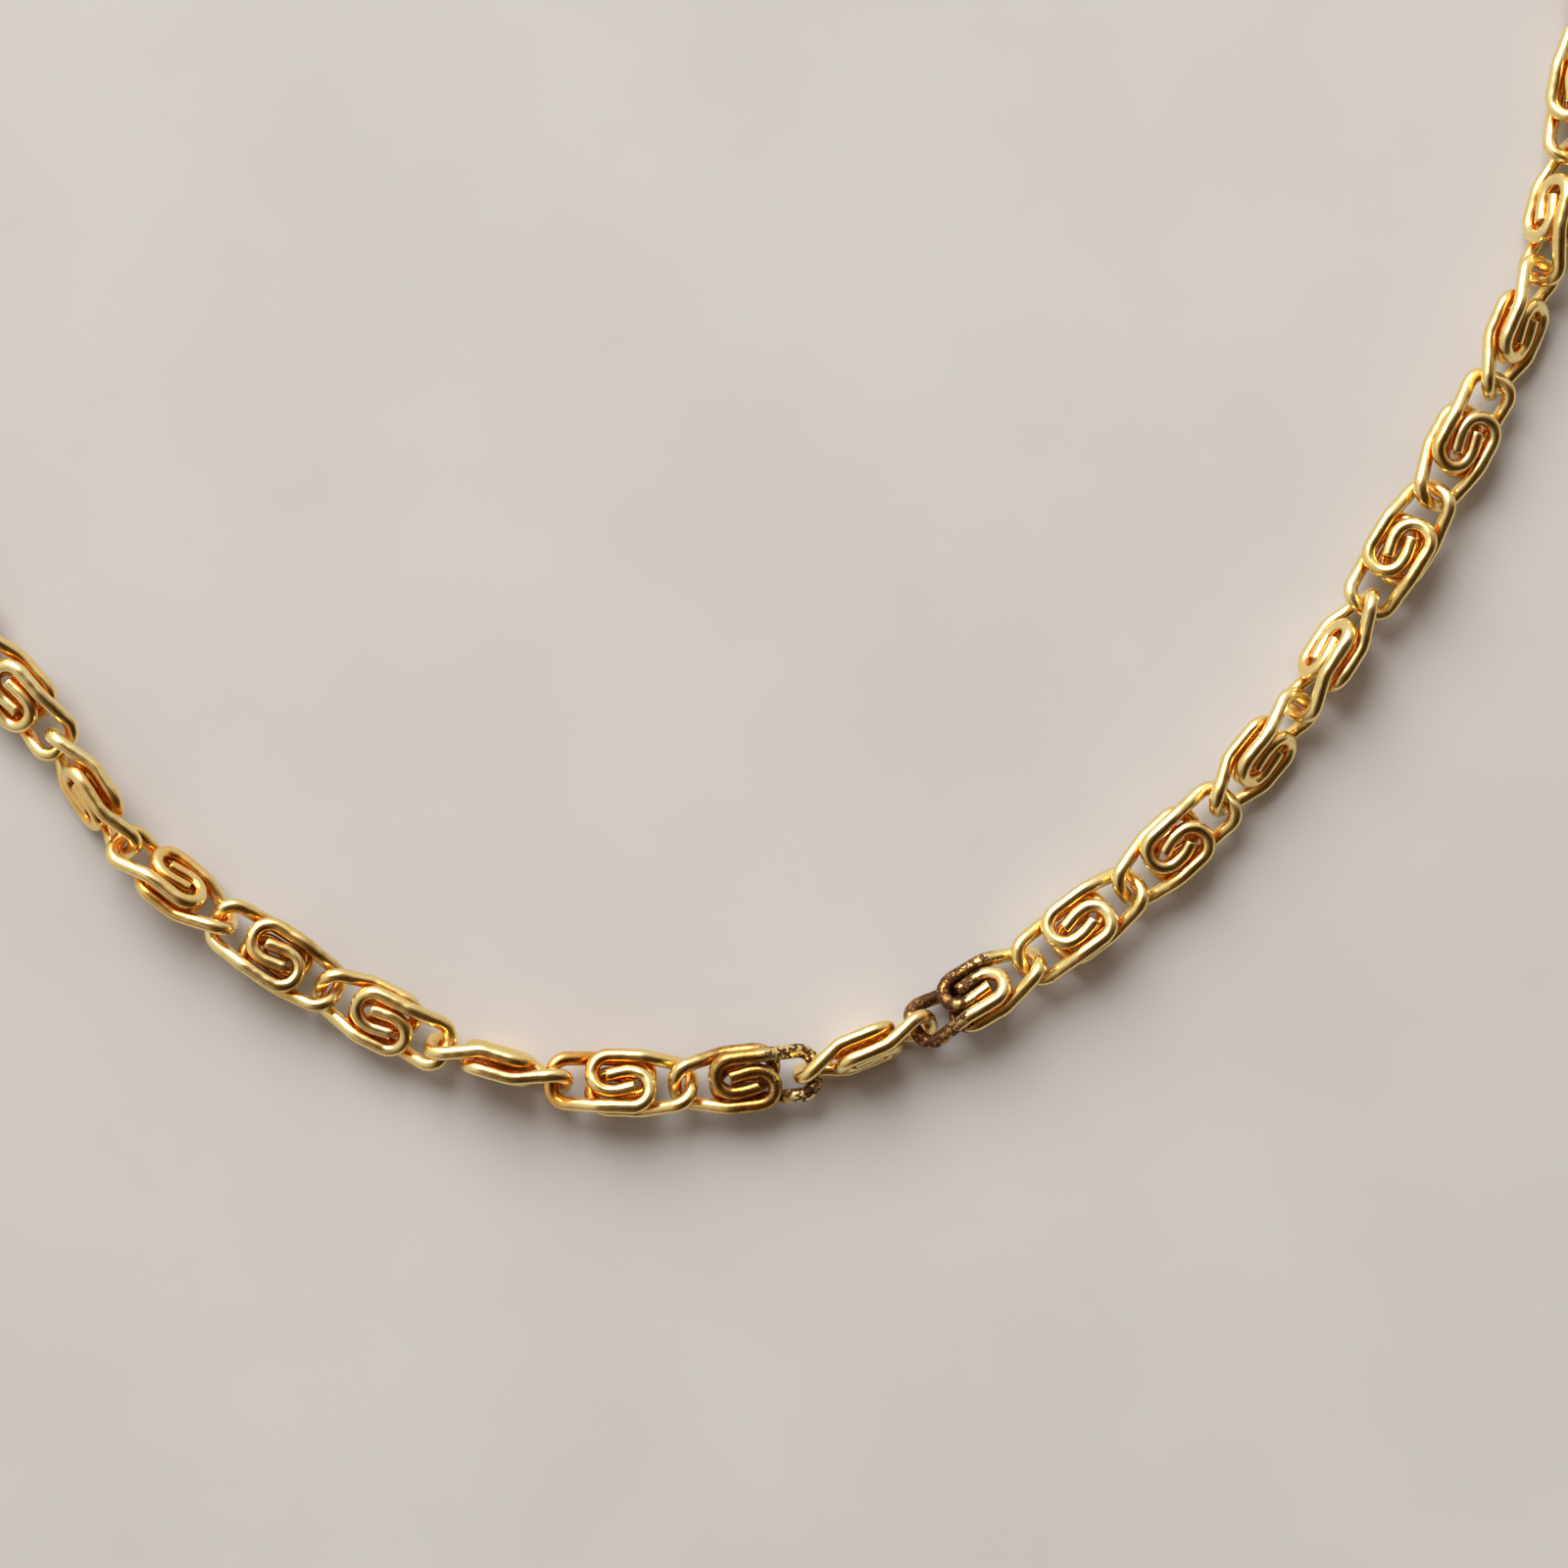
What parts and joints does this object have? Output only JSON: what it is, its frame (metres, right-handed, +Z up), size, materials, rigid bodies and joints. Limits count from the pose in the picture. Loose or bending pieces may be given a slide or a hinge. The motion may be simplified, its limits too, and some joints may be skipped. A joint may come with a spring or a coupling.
{
  "type": "eyeglasses chain strap",
  "caption": "Gold-tone scroll-link chain strap for spectacles, laid in an open loop, with a ring, ferrule, rubber grip loop and slider bead at each end.",
  "frame": {"origin": "centre of the bounding box, on the surface that the strap lies on", "axes": "+X across the laid loop, +Y from the front curve towards the grip loops, +Z up from the surface"},
  "size_m": [0.1535, 0.2229, 0.0046],
  "materials": {
    "scroll_wire": "polished gold-tone plating, tarnished dark in places",
    "fitting_metal": "polished gold-tone plating",
    "grip_rubber": "matt soft rubber",
    "slider_rubber": "satin moulded rubber"
  },
  "bodies": {
    "link_01": {"link_01": "scroll_wire"},
    "link_02": {"link_02": "scroll_wire"},
    "link_03": {"link_03": "scroll_wire"},
    "link_04": {"link_04": "scroll_wire"},
    "link_05": {"link_05": "scroll_wire"},
    "link_06": {"link_06": "scroll_wire"},
    "link_07": {"link_07": "scroll_wire"},
    "link_08": {"link_08": "scroll_wire"},
    "link_09": {"link_09": "scroll_wire"},
    "link_10": {"link_10": "scroll_wire"},
    "link_11": {"link_11": "scroll_wire"},
    "link_12": {"link_12": "scroll_wire"},
    "link_13": {"link_13": "scroll_wire"},
    "link_14": {"link_14": "scroll_wire"},
    "link_15": {"link_15": "scroll_wire"},
    "link_16": {"link_16": "scroll_wire"},
    "link_17": {"link_17": "scroll_wire"},
    "link_18": {"link_18": "scroll_wire"},
    "link_19": {"link_19": "scroll_wire"},
    "link_20": {"link_20": "scroll_wire"},
    "link_21": {"link_21": "scroll_wire"},
    "link_22": {"link_22": "scroll_wire"},
    "link_23": {"link_23": "scroll_wire"},
    "link_24": {"link_24": "scroll_wire"},
    "link_25": {"link_25": "scroll_wire"},
    "link_26": {"link_26": "scroll_wire"},
    "link_27": {"link_27": "scroll_wire"},
    "link_28": {"link_28": "scroll_wire"},
    "link_29": {"link_29": "scroll_wire"},
    "link_30": {"link_30": "scroll_wire"},
    "link_31": {"link_31": "scroll_wire"},
    "link_32": {"link_32": "scroll_wire"},
    "link_33": {"link_33": "scroll_wire"},
    "link_34": {"link_34": "scroll_wire"},
    "link_35": {"link_35": "scroll_wire"},
    "link_36": {"link_36": "scroll_wire"},
    "link_37": {"link_37": "scroll_wire"},
    "link_38": {"link_38": "scroll_wire"},
    "link_39": {"link_39": "scroll_wire"},
    "link_40": {"link_40": "scroll_wire"},
    "link_41": {"link_41": "scroll_wire"},
    "link_42": {"link_42": "scroll_wire"},
    "link_43": {"link_43": "scroll_wire"},
    "link_44": {"link_44": "scroll_wire"},
    "link_45": {"link_45": "scroll_wire"},
    "link_46": {"link_46": "scroll_wire"},
    "link_47": {"link_47": "scroll_wire"},
    "link_48": {"link_48": "scroll_wire"},
    "link_49": {"link_49": "scroll_wire"},
    "link_50": {"link_50": "scroll_wire"},
    "link_51": {"link_51": "scroll_wire"},
    "link_52": {"link_52": "scroll_wire"},
    "left_ring": {"left_ring": "fitting_metal"},
    "left_end": {"left_ferrule": "fitting_metal", "left_grip_loop": "grip_rubber"},
    "left_bead": {"left_slider": "slider_rubber"},
    "right_ring": {"right_ring": "fitting_metal"},
    "right_end": {"right_ferrule": "fitting_metal", "right_grip_loop": "grip_rubber"},
    "right_bead": {"right_slider": "slider_rubber"}
  },
  "joints": [
    {"name": "joint_26_27", "type": "hinge", "parent": "link_26", "child": "link_27", "pos_m": [0.01204, -0.10919, 0.00228], "axis": [0.0267, 0.7656, -0.6428], "range_deg": [-25, 35]},
    {"name": "joint_27_28", "type": "hinge", "parent": "link_27", "child": "link_28", "pos_m": [0.02019, -0.10826, 0.00228], "axis": [-0.1029, 0.9794, -0.1736], "range_deg": [-35, 35]},
    {"name": "joint_28_29", "type": "hinge", "parent": "link_28", "child": "link_29", "pos_m": [0.02776, -0.10505, 0.00228], "axis": [-0.2306, 0.5708, 0.788], "range_deg": [-35, 35]},
    {"name": "joint_29_30", "type": "hinge", "parent": "link_29", "child": "link_30", "pos_m": [0.03483, -0.10088, 0.00228], "axis": [0.2034, -0.3522, 0.9135], "range_deg": [-35, 20]},
    {"name": "joint_30_31", "type": "hinge", "parent": "link_30", "child": "link_31", "pos_m": [0.04134, -0.09589, 0.00228], "axis": [0.4742, -0.6293, 0.6157], "range_deg": [-30, 20]},
    {"name": "joint_31_32", "type": "hinge", "parent": "link_31", "child": "link_32", "pos_m": [0.0473, -0.09026, 0.00228], "axis": [0.6671, -0.7154, 0.2079], "range_deg": [-35, 35]},
    {"name": "joint_32_33", "type": "hinge", "parent": "link_32", "child": "link_33", "pos_m": [0.05241, -0.08383, 0.00228], "axis": [0.6985, -0.5656, -0.4384], "range_deg": [-35, 35]},
    {"name": "joint_33_34", "type": "hinge", "parent": "link_33", "child": "link_34", "pos_m": [0.05683, -0.07692, 0.00228], "axis": [0.0146, -0.0095, -0.9998], "range_deg": [-35, 35]},
    {"name": "joint_34_35", "type": "hinge", "parent": "link_34", "child": "link_35", "pos_m": [0.06117, -0.06996, 0.00228], "axis": [-0.6683, 0.4176, -0.6157], "range_deg": [-35, 35]},
    {"name": "joint_35_36", "type": "hinge", "parent": "link_35", "child": "link_36", "pos_m": [0.06498, -0.0627, 0.00228], "axis": [-0.8796, 0.4677, -0.0872], "range_deg": [-35, 35]},
    {"name": "joint_36_37", "type": "hinge", "parent": "link_36", "child": "link_37", "pos_m": [0.06815, -0.05514, 0.00228], "axis": [-0.8202, 0.3481, 0.454], "range_deg": [-35, 35]},
    {"name": "joint_37_38", "type": "hinge", "parent": "link_37", "child": "link_38", "pos_m": [0.07005, -0.04715, 0.00228], "axis": [0.0677, -0.0169, 0.9976], "range_deg": [-35, 35]},
    {"name": "joint_38_39", "type": "hinge", "parent": "link_38", "child": "link_39", "pos_m": [0.07144, -0.03907, 0.00228], "axis": [0.6841, -0.1206, 0.7193], "range_deg": [-35, 35]},
    {"name": "joint_39_40", "type": "hinge", "parent": "link_39", "child": "link_40", "pos_m": [0.07259, -0.03095, 0.00228], "axis": [0.9892, -0.1425, -0.0349], "range_deg": [-35, 35]},
    {"name": "joint_40_41", "type": "hinge", "parent": "link_40", "child": "link_41", "pos_m": [0.07349, -0.0228, 0.00228], "axis": [0.6388, -0.0717, -0.766], "range_deg": [-35, 35]},
    {"name": "joint_41_42", "type": "hinge", "parent": "link_41", "child": "link_42", "pos_m": [0.07413, -0.01462, 0.00228], "axis": [-0.1387, 0.0112, -0.9903], "range_deg": [-35, 35]},
    {"name": "joint_42_43", "type": "hinge", "parent": "link_42", "child": "link_43", "pos_m": [0.07451, -0.00643, 0.00228], "axis": [-0.828, 0.0405, -0.5592], "range_deg": [-35, 35]},
    {"name": "joint_43_44", "type": "hinge", "parent": "link_43", "child": "link_44", "pos_m": [0.07464, 0.00177, 0.00228], "axis": [-0.9701, 0.0169, 0.2419], "range_deg": [-35, 35]},
    {"name": "joint_44_45", "type": "hinge", "parent": "link_44", "child": "link_45", "pos_m": [0.07451, 0.00997, 0.00228], "axis": [-0.4694, -0.0066, 0.8829], "range_deg": [-35, 35]},
    {"name": "joint_45_46", "type": "hinge", "parent": "link_45", "child": "link_46", "pos_m": [0.07412, 0.01816, 0.00228], "axis": [0.3417, 0.0155, 0.9397], "range_deg": [-35, 35]},
    {"name": "joint_46_47", "type": "hinge", "parent": "link_46", "child": "link_47", "pos_m": [0.07347, 0.02633, 0.00228], "axis": [0.9245, 0.0711, 0.3746], "range_deg": [-35, 35]},
    {"name": "joint_47_48", "type": "hinge", "parent": "link_47", "child": "link_48", "pos_m": [0.07257, 0.03448, 0.00228], "axis": [0.8935, 0.0971, -0.4384], "range_deg": [-35, 35]},
    {"name": "joint_48_49", "type": "hinge", "parent": "link_48", "child": "link_49", "pos_m": [0.07141, 0.0426, 0.00228], "axis": [0.273, 0.0384, -0.9613], "range_deg": [-35, 35]},
    {"name": "joint_49_50", "type": "hinge", "parent": "link_49", "child": "link_50", "pos_m": [0.07, 0.05068, 0.00228], "axis": [-0.5222, -0.0902, -0.848], "range_deg": [-35, 35]},
    {"name": "joint_50_51", "type": "hinge", "parent": "link_50", "child": "link_51", "pos_m": [0.06834, 0.05871, 0.00228], "axis": [-0.9647, -0.198, -0.1736], "range_deg": [-35, 35]},
    {"name": "joint_51_52", "type": "hinge", "parent": "link_51", "child": "link_52", "pos_m": [0.06642, 0.06668, 0.00228], "axis": [-0.7666, -0.1826, 0.6157], "range_deg": [-35, 35]},
    {"name": "joint_25_26", "type": "hinge", "parent": "link_26", "child": "link_25", "pos_m": [0.00278, -0.10887, 0.00228], "axis": [0.0341, 0.9776, 0.2079], "range_deg": [-25, 35]},
    {"name": "joint_24_25", "type": "hinge", "parent": "link_25", "child": "link_24", "pos_m": [-0.00508, -0.10648, 0.00228], "axis": [0.1208, 0.4214, -0.8988], "range_deg": [-35, 35]},
    {"name": "joint_23_24", "type": "hinge", "parent": "link_24", "child": "link_23", "pos_m": [-0.01235, -0.10266, 0.00228], "axis": [-0.3154, -0.6189, -0.7193], "range_deg": [-35, 25]},
    {"name": "joint_22_23", "type": "hinge", "parent": "link_23", "child": "link_22", "pos_m": [-0.0192, -0.09815, 0.00228], "axis": [-0.518, -0.7976, -0.309], "range_deg": [-35, 35]},
    {"name": "joint_21_22", "type": "hinge", "parent": "link_22", "child": "link_21", "pos_m": [-0.02564, -0.09306, 0.00228], "axis": [-0.5385, -0.6892, 0.4848], "range_deg": [-35, 35]},
    {"name": "joint_20_21", "type": "hinge", "parent": "link_21", "child": "link_20", "pos_m": [-0.02997, -0.08607, 0.00228], "axis": [-0.0439, -0.0285, 0.9986], "range_deg": [-35, 35]},
    {"name": "joint_19_20", "type": "hinge", "parent": "link_20", "child": "link_19", "pos_m": [-0.0353, -0.07982, 0.00228], "axis": [0.4284, 0.3594, 0.829], "range_deg": [-35, 35]},
    {"name": "joint_18_19", "type": "hinge", "parent": "link_19", "child": "link_18", "pos_m": [-0.04026, -0.07329, 0.00228], "axis": [0.7867, 0.6015, 0.1392], "range_deg": [-35, 35]},
    {"name": "joint_17_18", "type": "hinge", "parent": "link_18", "child": "link_17", "pos_m": [-0.04492, -0.06655, 0.00228], "axis": [0.629, 0.4372, -0.6428], "range_deg": [-35, 35]},
    {"name": "joint_16_17", "type": "hinge", "parent": "link_17", "child": "link_16", "pos_m": [-0.04927, -0.0596, 0.00228], "axis": [0.0295, 0.0186, -0.9994], "range_deg": [-35, 35]},
    {"name": "joint_15_16", "type": "hinge", "parent": "link_16", "child": "link_15", "pos_m": [-0.0533, -0.05245, 0.00228], "axis": [-0.6255, -0.3553, -0.6947], "range_deg": [-35, 35]},
    {"name": "joint_14_15", "type": "hinge", "parent": "link_15", "child": "link_14", "pos_m": [-0.057, -0.04513, 0.00228], "axis": [-0.8888, -0.4529, 0.0698], "range_deg": [-35, 35]},
    {"name": "joint_13_14", "type": "hinge", "parent": "link_14", "child": "link_13", "pos_m": [-0.06036, -0.03766, 0.00228], "axis": [-0.5607, -0.2543, 0.788], "range_deg": [-35, 35]},
    {"name": "joint_12_13", "type": "hinge", "parent": "link_13", "child": "link_12", "pos_m": [-0.06339, -0.03003, 0.00228], "axis": [0.1612, 0.0645, 0.9848], "range_deg": [-35, 35]},
    {"name": "joint_11_12", "type": "hinge", "parent": "link_12", "child": "link_11", "pos_m": [-0.06606, -0.02228, 0.00228], "axis": [0.8009, 0.2789, 0.5299], "range_deg": [-35, 35]},
    {"name": "joint_10_11", "type": "hinge", "parent": "link_11", "child": "link_10", "pos_m": [-0.06838, -0.01442, 0.00228], "axis": [0.9212, 0.2746, -0.2756], "range_deg": [-35, 35]},
    {"name": "joint_09_10", "type": "hinge", "parent": "link_10", "child": "link_09", "pos_m": [-0.07034, -0.00645, 0.00228], "axis": [0.4253, 0.1061, -0.8988], "range_deg": [-35, 35]},
    {"name": "joint_08_09", "type": "hinge", "parent": "link_09", "child": "link_08", "pos_m": [-0.07194, 0.00159, 0.00228], "axis": [-0.3672, -0.074, -0.9272], "range_deg": [-35, 35]},
    {"name": "joint_07_08", "type": "hinge", "parent": "link_08", "child": "link_07", "pos_m": [-0.07317, 0.0097, 0.00228], "axis": [-0.9286, -0.1438, -0.342], "range_deg": [-35, 35]},
    {"name": "joint_06_07", "type": "hinge", "parent": "link_07", "child": "link_06", "pos_m": [-0.07403, 0.01785, 0.00228], "axis": [-0.8778, -0.0954, 0.4695], "range_deg": [-35, 35]},
    {"name": "joint_05_06", "type": "hinge", "parent": "link_06", "child": "link_05", "pos_m": [-0.07452, 0.02604, 0.00228], "axis": [-0.2414, -0.0152, 0.9703], "range_deg": [-35, 35]},
    {"name": "joint_04_05", "type": "hinge", "parent": "link_05", "child": "link_04", "pos_m": [-0.07464, 0.03424, 0.00228], "axis": [0.5591, 0.0098, 0.829], "range_deg": [-35, 35]},
    {"name": "joint_03_04", "type": "hinge", "parent": "link_04", "child": "link_03", "pos_m": [-0.07439, 0.04244, 0.00228], "axis": [0.9899, -0.0276, 0.1392], "range_deg": [-35, 35]},
    {"name": "joint_02_03", "type": "hinge", "parent": "link_03", "child": "link_02", "pos_m": [-0.07376, 0.05061, 0.00228], "axis": [0.764, -0.0561, -0.6428], "range_deg": [-35, 35]},
    {"name": "joint_01_02", "type": "hinge", "parent": "link_02", "child": "link_01", "pos_m": [-0.07277, 0.05875, 0.00228], "axis": [0.0347, -0.0041, -0.9994], "range_deg": [-35, 35]},
    {"name": "left_ring_hinge", "type": "hinge", "parent": "link_01", "child": "left_ring", "pos_m": [-0.0714, 0.06684, 0.00228], "axis": [0.7097, -0.1175, 0.6947], "range_deg": [-30, 30]},
    {"name": "left_end_hinge", "type": "hinge", "parent": "left_ring", "child": "left_end", "pos_m": [-0.07096, 0.06951, 0.00228], "axis": [0.6853, -0.1135, -0.7193], "range_deg": [-30, 30]},
    {"name": "left_bead_slide", "type": "slide", "parent": "left_end", "child": "left_bead", "axis": [0.1633, 0.9866, 0], "range_m": [0, 0.004]},
    {"name": "right_ring_hinge", "type": "hinge", "parent": "link_52", "child": "right_ring", "pos_m": [0.06425, 0.07459, 0.00228], "axis": [-0.0673, -0.0183, 0.9976], "range_deg": [-30, 30]},
    {"name": "right_end_hinge", "type": "hinge", "parent": "right_ring", "child": "right_end", "pos_m": [0.06354, 0.0772, 0.00228], "axis": [0.9627, 0.2615, 0.0698], "range_deg": [-30, 30]},
    {"name": "right_bead_slide", "type": "slide", "parent": "right_end", "child": "right_bead", "axis": [-0.2622, 0.965, 0], "range_m": [0, 0.004]}
  ]
}
